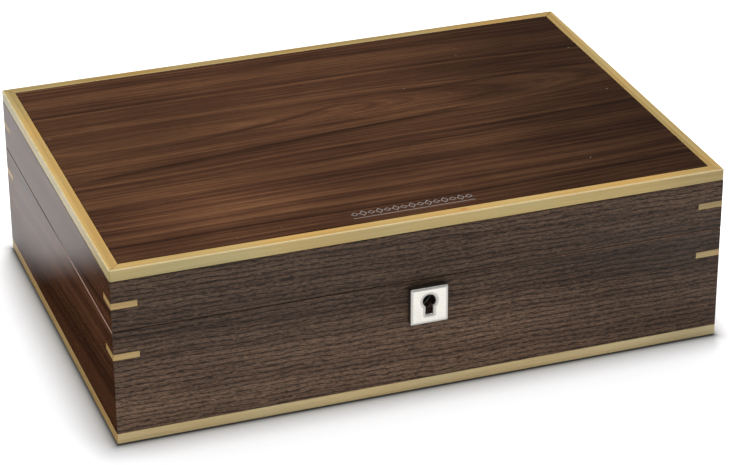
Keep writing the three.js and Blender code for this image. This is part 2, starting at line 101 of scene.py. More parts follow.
class Recipe:
    """Builds one material. From place to bump, a method adds nodes and returns the socket with the result."""

    def __init__(self, name, **inputs):
        self.material = bpy.data.materials.new(name)
        self.material.use_nodes = True
        self.tree = self.material.node_tree
        self.shader = self.tree.nodes["Principled BSDF"]
        self.fill(self.shader, **inputs)

    def node(self, kind, **settings):
        made = self.tree.nodes.new(kind)
        for key, value in settings.items():
            setattr(made, key, value)
        return made

    def feed(self, socket, value):
        if isinstance(value, bpy.types.NodeSocket):
            self.tree.links.new(value, socket)
        elif value is not None:
            socket.default_value = value

    def fill(self, made, **inputs):
        """Feeds a node's inputs by name."""
        for key, value in inputs.items():
            self.feed(made.inputs[key.replace("_", " ")], value)
        return made

    def place(self):
        return self.node("ShaderNodeTexCoord").outputs["Object"]

    def scaled(self, vector, scale, offset=(0, 0, 0)):
        made = self.node("ShaderNodeMapping")
        return self.fill(made, Vector=vector, Scale=scale, Location=offset).outputs["Vector"]

    def noise(self, vector, scale, detail=2.0, rough=0.5, distortion=0.0):
        """Noise with one scale per metre, or with one for each axis."""
        if isinstance(scale, tuple):
            vector, scale = self.scaled(vector, scale), 1.0
        made = self.node("ShaderNodeTexNoise")
        self.fill(made, Vector=vector, Scale=scale, Detail=detail, Roughness=rough, Distortion=distortion)
        return made.outputs["Fac"]

    def line_noise(self, value, scale, detail, rough=0.6):
        made = self.node("ShaderNodeTexNoise", noise_dimensions="1D")
        return self.fill(made, W=value, Scale=scale, Detail=detail, Roughness=rough).outputs["Fac"]

    def cells(self, vector, scale):
        made = self.node("ShaderNodeTexVoronoi")
        return self.fill(made, Vector=vector, Scale=scale).outputs["Distance"]

    def math(self, operation, a, b=None, c=None):
        made = self.node("ShaderNodeMath", operation=operation)
        for socket, value in zip(made.inputs, (a, b, c)):
            self.feed(socket, value)
        return made.outputs["Value"]

    def squares(self, a, b):
        """a squared plus b squared."""
        return self.math("MULTIPLY_ADD", a, a, self.math("MULTIPLY", b, b))

    def split(self, vector):
        made = self.fill(self.node("ShaderNodeSeparateXYZ"), Vector=vector)
        return made.outputs["X"], made.outputs["Y"], made.outputs["Z"]

    def combined(self, x, y, z):
        return self.fill(self.node("ShaderNodeCombineXYZ"), X=x, Y=y, Z=z).outputs["Vector"]

    def spread(self, value, low, high, to_low=0.0, to_high=1.0):
        """Maps low..high to to_low..to_high, smoothly, and clamps."""
        made = self.node("ShaderNodeMapRange", interpolation_type="SMOOTHSTEP")
        self.fill(made, Value=value, From_Min=low, From_Max=high, To_Min=to_low, To_Max=to_high)
        return made.outputs["Result"]

    def ramp(self, value, *stops):
        made = self.node("ShaderNodeValToRGB")
        self.feed(made.inputs["Fac"], value)
        elements = made.color_ramp.elements
        while len(elements) < len(stops):
            elements.new(0.5)
        for element, (at, colour) in zip(elements, stops):
            element.position = at
            element.color = (*colour, 1)
        return made.outputs["Color"]

    def blended(self, share, a, b, how="MIX"):
        made = self.node("ShaderNodeMix", data_type="RGBA", blend_type=how)
        self.feed(made.inputs["Factor"], share)
        for socket, value in ((made.inputs[MIX_A], a), (made.inputs[MIX_B], b)):
            self.feed(socket, (*value, 1) if isinstance(value, tuple) else value)
        return made.outputs[MIX_RESULT]

    def shaded(self, colour, value, low, high):
        """Multiplies a colour by a grey that runs from low to high with value."""
        grey = self.ramp(value, (0.0, (low,) * 3), (1.0, (high,) * 3))
        return self.blended(1.0, colour, grey, "MULTIPLY")

    def bump(self, height, distance, strength=1.0):
        made = self.node("ShaderNodeBump")
        return self.fill(made, Height=height, Distance=distance, Strength=strength).outputs["Normal"]

    def finish(self, colour=None, roughness=None, normal=None):
        self.fill(self.shader, Base_Color=colour, Roughness=roughness, Normal=normal)
        return self.material


def linear(red, green, blue):
    """An sRGB colour of 0 to 255 as linear values."""
    return tuple(
        c / 255 / 12.92 if c / 255 <= 0.04045 else ((c / 255 + 0.055) / 1.055) ** 2.4
        for c in (red, green, blue)
    )


# ---- woods ----
BOX_HALF_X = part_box("lid_right_edging")[1].x
BOX_HALF_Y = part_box("lid_back_edging")[1].y
BOX_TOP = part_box("lid_top_panel")[1].z
SEAM_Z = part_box("base_front_wall")[1].z
WALL_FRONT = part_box("base_front_wall")[0].y
WALL_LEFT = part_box("base_left_wall")[0].x

# Noise scales of a board, per metre: along the grain, across it and into the board.
SWAY_SCALE = (5, 14, 14)
FINE_SWAY_SCALE = (16, 60, 60)
FIBRE_SCALE = (22, 1100, 1100)
MOTTLE_SCALE = (14, 26, 26)
SHEEN_SCALE = (8, 20, 20)
FINE_RINGS = 4.3  # fine growth lines to each broad one
MOTTLE_SHARE = 0.24
TONE_REACH = 0.2  # from the middle tone to the dark or light one, at a contrast of 1
PORE_SOFTNESS = 0.09


def along_grain(recipe, grain, offset=(0, 0, 0)):
    """Object coordinates turned so that x runs along the grain."""
    x, y, z = recipe.split(recipe.place())
    order = {"x": (x, y, z), "y": (y, x, z)}[grain]
    return recipe.scaled(recipe.combined(*order), (1, 1, 1), offset)


def wood(name, grain, tones, heart, ring_scale, pores, rough, offset=(0, 0, 0), warp=0.006, contrast=1.0,
         fibres=0.3, shade=None, **inputs):
    """A flat-sawn board.

    heart is the tree's centre under the board: its place along and across, its depth and its tilt.
    pores is their length and width in mm, threshold, depth in mm, and how much they darken.
    """
    recipe = Recipe(name, **inputs)
    place = along_grain(recipe, grain, offset)
    sway = recipe.noise(place, SWAY_SCALE, detail=2)
    fine_sway = recipe.noise(place, FINE_SWAY_SCALE, detail=2)
    x, y, z = recipe.split(place)
    swayed = recipe.math("MULTIPLY_ADD", sway, 2 * warp, y)
    swayed = recipe.math("MULTIPLY_ADD", fine_sway, 0.3 * warp, swayed)
    along, across, deep, tilt = heart
    from_heart = recipe.math("SUBTRACT", swayed, across)
    rise = recipe.math("MULTIPLY", recipe.math("SUBTRACT", x, along), tilt)
    depth = recipe.math("ADD", recipe.math("SUBTRACT", z, deep), rise)
    ring = recipe.math("SQRT", recipe.squares(from_heart, depth))

    broad = recipe.line_noise(ring, ring_scale, detail=1.5)
    lines = recipe.line_noise(ring, ring_scale * FINE_RINGS, detail=3, rough=0.65)
    fibre = recipe.noise(place, FIBRE_SCALE, detail=3, rough=0.6)
    mottle = recipe.noise(place, MOTTLE_SCALE, detail=3)
    tone = recipe.math("ADD", recipe.math("MULTIPLY", broad, 0.5), recipe.math("MULTIPLY", lines, 0.5))
    tone = recipe.math("MULTIPLY_ADD", recipe.math("SUBTRACT", fibre, 0.5), fibres, tone)
    tone = recipe.math("MULTIPLY_ADD", recipe.math("SUBTRACT", mottle, 0.5), MOTTLE_SHARE, tone)
    dark, middle, light = tones
    reach = TONE_REACH / contrast
    colour = recipe.ramp(tone, (0.5 - reach, dark), (0.5, middle), (0.5 + reach, light))

    length, width, threshold, depth_mm, darkness = pores
    pore_scale = (1 / (length * MM), 1 / (width * MM), 1 / (width * MM))
    pore_noise = recipe.noise(place, pore_scale, detail=1.5, rough=0.7)
    pore = recipe.spread(pore_noise, threshold, threshold + PORE_SOFTNESS)
    colour = recipe.shaded(colour, pore, 1.0, darkness)
    if shade is not None:
        colour = shade(recipe, colour)
    normal = None
    if depth_mm:
        relief = recipe.math("MULTIPLY_ADD", pore, -1.0, recipe.math("MULTIPLY", fibre, 0.25))
        normal = recipe.bump(relief, depth_mm * MM)
    sheen_patch = recipe.noise(place, SHEEN_SCALE, detail=3)
    roughness = recipe.spread(sheen_patch, 0.3, 0.7, *rough)
    return recipe.finish(colour, roughness, normal)


# Patches in the lid board: (centre x, centre y, half length, half width) in mm, and each one's brightness.
LID_PATCHES = (
    ((88, 14, 30, 6), 0.6), ((8, 22, 80, 13), 1.25), ((-95, -66, 60, 26), 1.4), ((-120, 45, 60, 40), 0.86),
    ((60, -95, 70, 22), 0.8),
)
PATCH_WANDER = 1.4  # of a patch's half width, over the range of the noise

# Growth lines in the lid board: y in mm at x = 0, slope, bend per mm, first and last x in mm, how wide each
# fades below and above in mm, and its brightness.
GROWTH_LINES = (
    (0, 0.09, 0.0, -160, 80, 6.0, 0.9, 0.45),
    (29, 0.27, 0.001, -135, 15, 0.9, 5.0, 0.52),
    (33, 0.05, -0.0002, 30, 165, 0.8, 4.0, 0.55),
    (-30, 0.06, 0.0, -60, 150, 4.0, 0.8, 0.66),
)
LINE_WANDER = 7 * MM  # over the range of the noise
LINE_END = 25  # mm over which a line fades out at each end
LID_DARK_FROM = 0.16  # x where the lid's right end is darkest
LID_DARKEST = 0.42
FLECK_CELLS = 62.0  # per metre
FLECK_SHARE = 0.35


def figured_lid(recipe, colour):
    """Light and dark patches, dark growth lines, a darker right end, and pale flecks in the lacquer."""
    place = recipe.place()
    wobble = recipe.noise(place, (9, 30, 30), detail=3)
    x, y, _ = recipe.split(place)
    for (centre_x, centre_y, half_x, half_y), amount in LID_PATCHES:
        dx = recipe.math("MULTIPLY_ADD", x, 1 / (half_x * MM), -centre_x / half_x)
        dy = recipe.math("MULTIPLY_ADD", y, 1 / (half_y * MM), -centre_y / half_y - PATCH_WANDER / 2)
        dy = recipe.math("MULTIPLY_ADD", wobble, PATCH_WANDER, dy)
        reach = recipe.squares(dx, dy)
        colour = recipe.shaded(colour, recipe.spread(reach, 0.0, 1.3), amount, 1.0)
    waved = recipe.math("MULTIPLY_ADD", wobble, LINE_WANDER, y)
    for start_y, slope, bend, first, last, below, above, amount in GROWTH_LINES:
        slant = recipe.math("MULTIPLY_ADD", x, bend / MM, slope)
        line_y = recipe.math("MULTIPLY_ADD", x, slant, start_y * MM + LINE_WANDER / 2)
        off = recipe.math("SUBTRACT", waved, line_y)
        under = recipe.spread(off, -below * MM, 0.0)
        over = recipe.spread(off, above * MM, 0.0)
        begun = recipe.spread(x, first * MM, (first + LINE_END) * MM)
        not_over = recipe.spread(x, last * MM, (last - LINE_END) * MM)
        ends = recipe.math("MULTIPLY", begun, not_over)
        line = recipe.math("MULTIPLY", recipe.math("MULTIPLY", under, over), ends)
        colour = recipe.shaded(colour, line, 1.0, amount)
    colour = recipe.shaded(colour, recipe.spread(x, LID_DARK_FROM, 0.0), LID_DARKEST, 1.0)
    fleck = recipe.spread(recipe.cells(place, FLECK_CELLS), 0.035, 0.02)
    return recipe.blended(recipe.math("MULTIPLY", fleck, FLECK_SHARE), colour, linear(190, 175, 160))


def painted_seam_highlight(recipe, colour, outward, face, share, pale):
    """A highlight painted on the base's upper outer arris, made pale by share. outward is the coordinate
    across the wall.
    """
    _, _, z = recipe.split(recipe.place())
    above = recipe.spread(z, SEAM_Z - 0.55 * MM, SEAM_Z - 0.25 * MM)
    below = recipe.spread(z, SEAM_Z + 0.15 * MM, SEAM_Z + 0.05 * MM)
    outer = recipe.spread(outward, face + 0.5 * MM, face + 0.3 * MM)
    arris = recipe.math("MULTIPLY", recipe.math("MULTIPLY", above, below), outer)
    return recipe.blended(recipe.math("MULTIPLY", arris, share), colour, pale)


ROW_TURNS = 2 * math.pi / (2.8 * MM)  # one dark row for every 2.8 mm
ROW_WANDER = 5 * MM
ROW_JITTER = 1.9 * MM
ROWS_ON_RIMS = 0.9  # depth counts this much as height, so that the rims have rows as well
DASH_SLANT = 0.16
# Colours of the highlight painted along the seam's arris, on the front and on the left.
FRONT_SEAM_HIGHLIGHT = linear(158, 122, 98)
FLANK_SEAM_HIGHLIGHT = linear(226, 196, 184)


def front_shade(recipe, colour):
    """Painted shade, darkest about the seam and lightest low down, with broken dark rows of pores one above
    another.
    """
    place = recipe.place()
    x, y, z = recipe.split(place)
    # Painted shade by height: darkest about the seam between lid and base, lightest low down.
    low_down = recipe.spread(z, 0.064, 0.02)
    high_up = recipe.spread(z, 0.066, 0.095, 0.0, 0.25)
    colour = recipe.shaded(colour, recipe.math("MAXIMUM", low_down, high_up), 0.62, 1.2)
    off_right_end = recipe.math("MAXIMUM", recipe.spread(x, 0.17, 0.0), recipe.spread(z, 0.05, 0.075))
    colour = recipe.shaded(colour, off_right_end, 0.58, 1.0)

    slanted = recipe.combined(x, y, recipe.math("MULTIPLY_ADD", x, DASH_SLANT, z))
    wander = recipe.noise(place, (26, 26, 60), detail=2)
    jitter = recipe.noise(slanted, (150, 150, 620), detail=1)
    height = recipe.math("MULTIPLY_ADD", y, ROWS_ON_RIMS, z)
    height = recipe.math("MULTIPLY_ADD", jitter, ROW_JITTER, height)
    height = recipe.math("MULTIPLY_ADD", wander, ROW_WANDER, height)
    row = recipe.spread(recipe.math("SINE", recipe.math("MULTIPLY", height, ROW_TURNS)), 0.35, 0.95)
    broken = recipe.spread(recipe.noise(slanted, (210, 210, 300), detail=2), 0.3, 0.46)
    colour = recipe.shaded(colour, recipe.math("MULTIPLY", row, broken), 1.2, 0.42)
    speckle = recipe.noise(slanted, (480, 480, 1500), detail=2)
    colour = recipe.shaded(colour, recipe.spread(speckle, 0.3, 0.7), 0.74, 1.26)
    to_right = recipe.spread(x, 0.0, 0.08, 0.0, 0.45)
    # A highlight painted along the seam's arris, stronger towards the right.
    return painted_seam_highlight(recipe, colour, y, WALL_FRONT, to_right, FRONT_SEAM_HIGHLIGHT)


def flank_shade(recipe, colour):
    """A highlight painted on the base's upper outer arris on the left, paler towards the front."""
    x, y, _ = recipe.split(recipe.place())
    to_front = recipe.spread(y, 0.02, -0.05, 0.0, 0.8)
    return painted_seam_highlight(recipe, colour, x, WALL_LEFT, to_front, FLANK_SEAM_HIGHLIGHT)


ARRIS_BAND = 0.8 * MM  # width of the outer arris band: the outer faces' tint and the painted highlight on the top arris
GOLDEN_TINT = (1.06, 0.97, 0.8)
STRAW_TINT = (0.95, 1.03, 1.08)
OUTER_TINT = (0.95, 1.1, 1.22)
FAR_TINT = (0.76, 0.78, 0.8)
ARRIS_HIGHLIGHT = linear(246, 226, 176)
KNOT = (21 * MM, -111 * MM)
KNOT_HALF = (3.0 * MM, 1.3 * MM)
KNOT_ORANGE = linear(190, 112, 52)


def golden(recipe, colour, drifting=1.0):
    """Slow golden-straw drift, greener outer faces, and a painted highlight on the outer top arris."""
    place = recipe.place()
    drift = recipe.noise(place, (14, 14, 40), detail=2)
    tint = recipe.ramp(drift, (0.36, GOLDEN_TINT), (0.62, STRAW_TINT))
    colour = recipe.blended(drifting, colour, tint, "MULTIPLY")
    x, y, z = recipe.split(place)
    outer_x = recipe.spread(recipe.math("ABSOLUTE", x), BOX_HALF_X - ARRIS_BAND, BOX_HALF_X - ARRIS_BAND / 2)
    outer_y = recipe.spread(recipe.math("ABSOLUTE", y), BOX_HALF_Y - ARRIS_BAND, BOX_HALF_Y - ARRIS_BAND / 2)
    outer = recipe.math("MAXIMUM", outer_x, outer_y)
    colour = recipe.blended(outer, colour, OUTER_TINT, "MULTIPLY")
    far = recipe.math("MAXIMUM", recipe.spread(x, 0.1, 0.16), recipe.spread(y, 0.05, 0.11))
    colour = recipe.blended(far, colour, FAR_TINT, "MULTIPLY")
    # Painted highlight: the outer top arris made paler.
    upper = recipe.spread(z, BOX_TOP - ARRIS_BAND, BOX_TOP - ARRIS_BAND / 2)
    arris = recipe.math("MULTIPLY", outer, upper)
    return recipe.blended(recipe.math("MULTIPLY", arris, 0.6), colour, ARRIS_HIGHLIGHT)


def calm(recipe, colour):
    """The same, with little drift."""
    return golden(recipe, colour, 0.35)


def knotted(recipe, colour):
    """The full drift, with one small orange knot."""
    colour = golden(recipe, colour)
    x, y, _ = recipe.split(recipe.place())
    dx = recipe.math("MULTIPLY", recipe.math("SUBTRACT", x, KNOT[0]), 1 / KNOT_HALF[0])
    dy = recipe.math("MULTIPLY", recipe.math("SUBTRACT", y, KNOT[1]), 1 / KNOT_HALF[1])
    near = recipe.squares(dx, dy)
    return recipe.blended(recipe.spread(near, 1.0, 0.1, 0.0, 0.7), colour, KNOT_ORANGE)


MAPLE_TONES = (linear(168, 133, 74), linear(194, 159, 96), linear(208, 176, 114))


def maple(name, grain, offset, tint=(1, 1, 1), shade=golden):
    tones = [tuple(c * t for c, t in zip(tone, tint)) for tone in MAPLE_TONES]
    return wood(
        name, grain, tones, heart=(0, 0.4, 0, 0.02), ring_scale=150, pores=(3, 0.3, 0.62, 0.012, 0.86),
        rough=(0.34, 0.48), offset=offset, warp=0.002, shade=shade, Coat_Weight=0.15, Coat_Roughness=0.3,
    )


# ---- metals and fabrics ----
BRUSHING_SCALE = (30, 2600, 2600)


def times(colour, factor):
    return tuple(c * factor for c in colour)


def metal(name, colour, rough, **inputs):
    """Metal brushed along X, a little cloudy."""
    recipe = Recipe(name, **{"Metallic": 1.0, **inputs})
    place = recipe.place()
    brushed = recipe.noise(place, BRUSHING_SCALE, detail=3)
    cloud = recipe.noise(place, 160.0, detail=3)
    tone = recipe.ramp(cloud, (0.3, times(colour, 0.9)), (0.7, colour))
    both = recipe.math("MULTIPLY_ADD", brushed, 0.5, recipe.math("MULTIPLY", cloud, 0.5))
    roughness = recipe.spread(both, 0.3, 0.7, *rough)
    return recipe.finish(tone, roughness, recipe.bump(brushed, 0.0015 * MM, 0.6))


def suede(name, colour, nap=1.0):
    """Suede with patches brushed light and dark. nap is the height of its pile."""
    recipe = Recipe(name, Roughness=0.95, Sheen_Weight=0.35, Sheen_Roughness=0.45)
    place = recipe.place()
    brushed_patch = recipe.noise(place, 38.0, detail=4, rough=0.6, distortion=0.6)
    grain = recipe.noise(place, 2600.0, detail=2)
    pile = recipe.noise(place, (900, 500, 900), detail=2)
    tone = recipe.ramp(brushed_patch, (0.35, times(colour, 0.8)), (0.65, times(colour, 1.12)))
    tone = recipe.shaded(tone, recipe.spread(grain, 0.3, 0.7), 0.84, 1.06)
    height = recipe.math("ADD", grain, pile)
    roughness = recipe.spread(brushed_patch, 0.3, 0.7, 0.88, 1.0)
    return recipe.finish(tone, roughness, recipe.bump(height, 0.06 * nap * MM, 0.7))


PLY_TURNS = 9000.0  # radians per metre across the twisted plies


def thread(name, colour):
    recipe = Recipe(name, Roughness=0.7, Sheen_Weight=0.2)
    x, y, z = recipe.split(recipe.place())
    across = recipe.math("ADD", x, recipe.math("ADD", y, z))
    ply = recipe.math("SINE", recipe.math("MULTIPLY", across, PLY_TURNS))
    tone = recipe.ramp(ply, (0.0, times(colour, 0.75)), (1.0, colour))
    return recipe.finish(tone, None, recipe.bump(ply, 0.03 * MM))


def make_walnuts():
    plain = [linear(58, 41, 30), linear(99, 77, 61), linear(130, 104, 84)]
    figured = [linear(48, 28, 18), linear(78, 50, 33), linear(108, 74, 49)]
    side = [linear(50, 29, 18), linear(84, 51, 32), linear(106, 69, 45)]
    front = {
        "grain": "x", "tones": plain, "ring_scale": 90, "pores": (2.6, 0.36, 0.54, 0.09, 0.45),
        "rough": (0.5, 0.68), "contrast": 0.6, "shade": front_shade, "Specular_IOR_Level": 0.2,
    }
    flank = {
        "grain": "y", "tones": side, "ring_scale": 75, "pores": (25, 0.8, 0.6, 0, 0.9),
        "rough": (0.2, 0.26), "fibres": 0.06, "contrast": 1.2, "shade": flank_shade,
        "Specular_IOR_Level": 0.072, "Specular_Tint": (0.9, 0.93, 1.0, 1),
    }
    return {
        "walnut_front": wood("walnut_front", heart=(0.02, -0.11, -0.04, 0.05), warp=0.002, **front),
        "walnut_back": wood(
            "walnut_back", heart=(-0.1, 0.112, -0.07, 0.04), warp=0.003, offset=(0.7, 0, 0.01), **front,
        ),
        "walnut_left": wood("walnut_left", heart=(0, -0.2, -0.02, 0.08), offset=(0.2, 0, 0), **flank),
        "walnut_right": wood("walnut_right", heart=(0, 0.2, -0.03, 0.08), offset=(0.9, 0, 0.1), **flank),
        "walnut_top": wood(
            "walnut_top", "x", figured, heart=(-0.04, 0.03, 0.0926, 0.09), ring_scale=72,
            pores=(6, 0.34, 0.56, 0.012, 0.66), rough=(0.26, 0.34), fibres=0.55, shade=figured_lid,
            Specular_IOR_Level=0.06,
        ),
        "walnut_floor": wood(
            "walnut_floor", "x", plain, heart=(0, 0.3, 0, 0.05), ring_scale=60,
            pores=(5, 0.4, 0.58, 0.03, 0.7), rough=(0.5, 0.65),
        ),
    }


def make_materials():
    return {
        **make_walnuts(),
        "maple_x": maple("maple_x", "x", (0, 0, 0), shade=knotted),
        "maple_y": maple("maple_y", "y", (0.4, 0, 0)),
        # The front and back bands are tinted paler than the other maple: partly their own colour, partly
        # painted light that lifts the shade near the floor.
        "maple_band": maple("maple_band", "x", (0.3, 0.2, 0), (1.6, 1.64, 2.15), calm),
        "maple_band_side": maple("maple_band_side", "y", (0.6, 0.2, 0), (1.5, 1.3, 1.2), calm),
        "maple_spline": maple("maple_spline", "x", (0.8, 0.1, 0), (1.08, 0.94, 0.86)),
        "nickel": metal("nickel", (0.74, 0.715, 0.655), (0.2, 0.32)),
        # The bevel and chamfer are a rougher nickel whose darker colour is painted shade; the plate's sides
        # are painted near black as shade.
        "nickel_chamfer": metal("nickel_chamfer", (0.6, 0.58, 0.54), (0.42, 0.55)),
        "nickel_shaded_side": metal("nickel_shaded_side", (0.2, 0.185, 0.165), (0.3, 0.45)),
        "foil": metal("foil", (0.42, 0.39, 0.38), (0.5, 0.65), Metallic=0.4),
        "steel": metal("steel", (0.5, 0.49, 0.47), (0.3, 0.5)),
        "lining": suede("lining", linear(172, 154, 130)),
        "pillow": suede("pillow", linear(186, 168, 144), nap=1.3),
        "baize": suede("baize", linear(44, 34, 28), nap=2.0),
        "thread": thread("thread", linear(150, 124, 92)),
    }


# ---- CAD nodes that keep their shape ----
WELD_WITHIN = 1e-6


def modified(piece, kind, **settings):
    modifier = piece.modifiers.new(kind.lower(), kind)
    for key, value in settings.items():
        setattr(modifier, key, value)


def add_bevel(piece, width_mm, segments, degrees):
    modified(
        piece, "BEVEL", width=width_mm * MM, segments=segments, limit_method="ANGLE",
        angle_limit=math.radians(degrees),
    )


def dress(node, material, round_mm, segments=2):
    """Gives a CAD node its material and rounds its edges with modifiers."""
    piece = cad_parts[node]
    piece.data.materials.clear()
    piece.data.materials.append(material)
    modified(piece, "WELD", merge_threshold=WELD_WITHIN)
    add_bevel(piece, round_mm, segments, 30)


def dress_nodes(look):
    for side in SIDES:
        grain, band = ("x", "maple_band") if side in ROWS else ("y", "maple_band_side")
        for part in ("base", "lid"):
            dress(f"{part}_{side}_wall", look[f"walnut_{side}"], 0.13)
        dress(f"lid_{side}_edging", look[f"maple_{grain}"], 0.5, 3)
        dress(f"base_{side}_band", look[band], 0.25)
    for corner in CORNERS:
        dress(f"base_spline_{corner}", look["maple_spline"], 0.12)
        dress(f"lid_spline_{corner}", look["maple_spline"], 0.12)
    dress("lid_top_panel", look["walnut_top"], 0.1)
    dress("floor_panel", look["walnut_floor"], 0.1)
    dress("base_baize", look["baize"], 0.15)
    dress("liner_tray", look["lining"], 0.9, 3)
    for divider in ["long_divider"] + [f"cross_divider_{number}" for number in range(1, COLUMNS)]:
        dress(divider, look["lining"], 0.9, 3)


# ---- new pieces ----
def piece_from(name, verts, faces, material, smooth=True):
    mesh = bpy.data.meshes.new(name)
    mesh.from_pydata([tuple(v) for v in verts], [], faces)
    mesh.validate()
    mesh.polygons.foreach_set("use_smooth", [smooth] * len(mesh.polygons))
    mesh.materials.append(material)
    return placed(name, mesh)


def applied(piece):
    """Bakes a piece's modifiers into its mesh."""
    bpy.context.view_layer.update()
    graph = bpy.context.evaluated_depsgraph_get()
    mesh = bpy.data.meshes.new_from_object(piece.evaluated_get(graph))
    piece.modifiers.clear()
    piece.data = mesh
    return piece


def coordinates(mesh):
    flat = np.zeros(len(mesh.vertices) * 3)
    mesh.vertices.foreach_get("co", flat)
    return flat.reshape(-1, 3)


def set_coordinates(mesh, points):
    mesh.vertices.foreach_set("co", np.asarray(points, dtype=float).ravel())
    mesh.update()


def ridden(piece, body, slot, *replaced):
    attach(piece, body)
    if replaced:
        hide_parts(*replaced)
    return piece


def sharpened(mesh, degrees=32):
    """Smooth shading that stops at edges sharper than this."""
    mesh.polygons.foreach_set("use_smooth", [True] * len(mesh.polygons))
    mesh.set_sharp_from_angle(angle=math.radians(degrees))


def add_rings(faces, rings, first, count):
    """Quads between rings of count points each, which lie one after another from index first."""
    for ring in range(rings - 1):
        for i in range(count):
            j = (i + 1) % count
            a = first + ring * count
            faces.append([a + i, a + j, a + count + j, a + count + i])


def rounded_rectangle(half_a, half_b, radius, per_corner):
    """Points about the origin, with per_corner of them on each rounded corner."""
    points = []
    for quarter, (side_a, side_b) in enumerate(((1, 1), (-1, 1), (-1, -1), (1, -1))):
        for step in range(per_corner):
            angle = (quarter + step / (per_corner - 1)) * math.pi / 2
            points.append((
                side_a * (half_a - radius) + radius * math.cos(angle),
                side_b * (half_b - radius) + radius * math.sin(angle),
            ))
    return points


# ---- keyhole plate ----
PLATE_BEVEL = 1.3 * MM
PLATE_BEVEL_DEEP = 0.6 * MM
PLATE_CORNER_R = 0.8 * MM
KEY_Z = 53.4 * MM
KEY_R = 3.5 * MM
KEY_SLOT_HALF = 2.0 * MM
KEY_SLOT_BOTTOM = 45.8 * MM
KEY_CHAMFER = 1.6 * MM
KEY_CHAMFER_DEEP = 0.7 * MM
KEY_ARC_STEPS = 40
KEY_CORNER_STEPS = 4
EASED = [(1 - math.cos(step * math.pi / 6), math.sin(step * math.pi / 6)) for step in range(4)]


def keyhole_outline(grow):
    """A round hole over a slot with small rounded corners at its foot, all larger by grow."""
    radius = KEY_R + grow
    half = KEY_SLOT_HALF + grow
    turn = math.asin(half / radius)
    start, end = turn - math.pi / 2, 1.5 * math.pi - turn
    points = []
    for step in range(KEY_ARC_STEPS + 1):
        angle = start + (end - start) * step / KEY_ARC_STEPS
        points.append((radius * math.cos(angle), KEY_Z + radius * math.sin(angle)))
    foot = KEY_SLOT_BOTTOM - grow
    corner = 0.5 * MM + 0.5 * grow
    for side, first in ((-1, math.pi), (1, 1.5 * math.pi)):
        for step in range(KEY_CORNER_STEPS + 1):
            angle = first + math.pi / 2 * step / KEY_CORNER_STEPS
            points.append((
                side * (half - corner) + corner * math.cos(angle),
                foot + corner + corner * math.sin(angle),
            ))
    return points


def add_escutcheon(look):
    """A plate with a shallow bevel round its face and a chamfer round the keyhole."""
    low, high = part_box("escutcheon")
    half = (high.x - low.x) / 2
    centre_z = (high.z + low.z) / 2
    front, back = low.y, high.y
    outer = [(half, back)] + [
        (half - PLATE_BEVEL * inset, front + PLATE_BEVEL_DEEP * (1 - rise)) for inset, rise in EASED
    ]
    inner = [(0.0, back)] + [
        (KEY_CHAMFER * inset, front + KEY_CHAMFER_DEEP * (1 - rise)) for inset, rise in EASED
    ]
    verts = []
    faces = []
    for size, y in outer:
        radius = max(PLATE_CORNER_R - 0.4 * (half - size), 0.3 * MM)
        verts += [(x, y, centre_z + z) for x, z in rounded_rectangle(size, size, radius, 7)]
    rim_count = len(verts) // len(outer)
    add_rings(faces, len(outer), 0, rim_count)
    rim_faces = len(faces)
    hole_first = len(verts)
    for grow, y in inner:
        verts += [(x, y, z) for x, z in keyhole_outline(grow)]
    hole_count = (len(verts) - hole_first) // len(inner)
    add_rings(faces, len(inner), hole_first, hole_count)

    # The sides take a near-black nickel and the bevel and chamfer a darker one: painted shade.
    face_slot, bevel_slot, shaded_side_slot = range(3)
    shape = bmesh.new()
    made = [shape.verts.new(v) for v in verts]
    for number, face in enumerate(faces):
        on_rim = number < rim_faces
        ring = number // rim_count if on_rim else (number - rim_faces) // hole_count
        straight = shaded_side_slot if on_rim else face_slot
        shape.faces.new([made[i] for i in face]).material_index = bevel_slot if ring else straight
    for rim_ring, hole_ring in ((0, 0), (len(outer) - 1, len(inner) - 1)):
        rim = made[rim_ring * rim_count:(rim_ring + 1) * rim_count]
        start = hole_first + hole_ring * hole_count
        loops = (rim, made[start:start + hole_count])
        edges = [shape.edges.get((loop[i - 1], loop[i])) for loop in loops for i in range(len(loop))]
        bmesh.ops.triangle_fill(shape, use_beauty=True, use_dissolve=False, edges=edges)
    bmesh.ops.recalc_face_normals(shape, faces=shape.faces)
    mesh = bpy.data.meshes.new("escutcheon_plate")
    shape.to_mesh(mesh)
    shape.free()
    sharpened(mesh, 20)
    for material in ("nickel", "nickel_chamfer", "nickel_shaded_side"):
        mesh.materials.append(look[material])
    ridden(placed("escutcheon_plate", mesh), "base", "satin_nickel", "escutcheon")


# ---- metal parts that keep their CAD shape, with rounded arrises and smooth barrels ----
METAL_SLOTS = {"nickel": "satin_nickel", "steel": "lock_steel"}
HANDS = ("left", "right")
METAL_NODES = {  # body, metal, and how far its edges are rounded in mm
    "lock_bolt": ("bolt", "nickel", 0.15),
    "lock_backplate": ("base", "steel", 0.12),
    "lock_case": ("base", "steel", 0.12),
    "lock_spring": ("base", "steel", 0.04),
    **{f"lock_screw_{hand}": ("base", "steel", 0.08) for hand in HANDS},
    "strike_plate": ("lid", "nickel", 0.2),
    **{f"strike_screw_{hand}": ("lid", "steel", 0.08) for hand in HANDS},
    **{f"hinge_{hand}_base_leaf": ("base", "nickel", 0.15) for hand in HANDS},
    **{f"hinge_{hand}_lid_leaf": ("lid", "nickel", 0.15) for hand in HANDS},
    **{f"hinge_{hand}_pin": ("base", "nickel", 0.2) for hand in HANDS},
}


